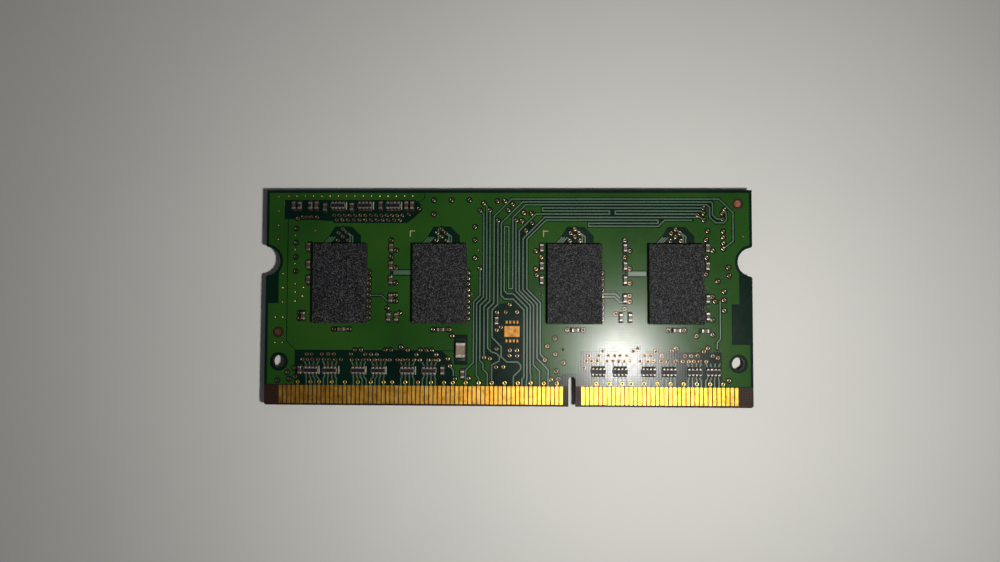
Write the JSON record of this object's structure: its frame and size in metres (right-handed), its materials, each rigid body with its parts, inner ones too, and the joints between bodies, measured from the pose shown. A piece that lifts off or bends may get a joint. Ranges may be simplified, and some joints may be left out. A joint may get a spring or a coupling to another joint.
{
  "type": "small-outline memory module",
  "caption": "Notched, keyed laminate card with gold edge contacts, moulded memory packages, small chip capacitors and resistor arrays on both faces.",
  "frame": {"origin": "under the centre of the card, at the lowest point, with the module lying on its rear packages", "axes": "+X along the card to the right, +Y from the contact edge to the top edge, +Z out of the front face"},
  "size_m": [0.0676, 0.03, 0.0033],
  "materials": {
    "target_copper": "bare copper disc",
    "package_mould": "fine-grained black moulding compound",
    "lead_metal": "tin-plated lead frame",
    "solder": "bright tin solder",
    "bulk_ceramic": "tan ceramic dielectric",
    "terminal_tin": "tin-plated ends",
    "capacitor_ceramic": "brown ceramic dielectric",
    "contact_gold": "hard gold plating, slightly worn",
    "track_copper": "etched copper under mask",
    "land_gold": "thin gold plating",
    "package_substrate": "resin substrate with dark mask",
    "silicon": "polished silicon",
    "laminate": "glass-epoxy laminate, cut edge",
    "alumina": "white alumina",
    "resistor_coat": "black glass overcoat",
    "solder_mask": "glossy green solder mask",
    "via_copper": "gold-plated copper",
    "white_ink": "white legend ink",
    "plane_copper": "copper foil",
    "label_paper": "plain white label"
  },
  "bodies": {
    "root": {"alignment_targets": "target_copper", "configuration_memory_body": "package_mould", "configuration_memory_leads": "lead_metal", "configuration_memory_solder": "solder", "front_bulk_capacitor_body": "bulk_ceramic", "front_bulk_capacitor_terminals": "terminal_tin", "front_capacitor_bodies": "capacitor_ceramic", "front_capacitor_terminals": "terminal_tin", "front_contacts": "contact_gold", "front_ground_pour": "track_copper", "front_lands": "land_gold", "front_memory_1_body": "package_mould", "front_memory_1_substrate": "package_substrate", "front_memory_2_body": "package_mould", "front_memory_2_substrate": "package_substrate", "front_memory_3_body": "package_mould", "front_memory_3_substrate": "package_substrate", "front_memory_4_body": "package_mould", "front_memory_4_substrate": "package_substrate", "front_memory_dies": "silicon", "front_prepreg": "laminate", "front_resistor_bodies": "alumina", "front_resistor_coats": "resistor_coat", "front_resistor_terminals": "terminal_tin", "front_solder_balls": "solder", "front_solder_joints": "solder", "front_solder_mask": "solder_mask", "front_tracks": "track_copper", "front_vias": "via_copper", "ink_marks": "white_ink", "inner_ground_plane": "plane_copper", "inner_power_plane": "plane_copper", "label": "label_paper", "laminate_core": "laminate", "rear_bulk_capacitor_body": "bulk_ceramic", "rear_bulk_capacitor_terminals": "terminal_tin", "rear_capacitor_bodies": "capacitor_ceramic", "rear_capacitor_terminals": "terminal_tin", "rear_contacts": "contact_gold", "rear_ground_pour": "track_copper", "rear_lands": "land_gold", "rear_memory_1_body": "package_mould", "rear_memory_1_substrate": "package_substrate", "rear_memory_2_body": "package_mould", "rear_memory_2_substrate": "package_substrate", "rear_memory_3_body": "package_mould", "rear_memory_3_substrate": "package_substrate", "rear_memory_4_body": "package_mould", "rear_memory_4_substrate": "package_substrate", "rear_memory_dies": "silicon", "rear_prepreg": "laminate", "rear_resistor_bodies": "alumina", "rear_resistor_coats": "resistor_coat", "rear_resistor_terminals": "terminal_tin", "rear_solder_balls": "solder", "rear_solder_joints": "solder", "rear_solder_mask": "solder_mask", "rear_tracks": "track_copper", "rear_vias": "via_copper"}
  },
  "joints": []
}
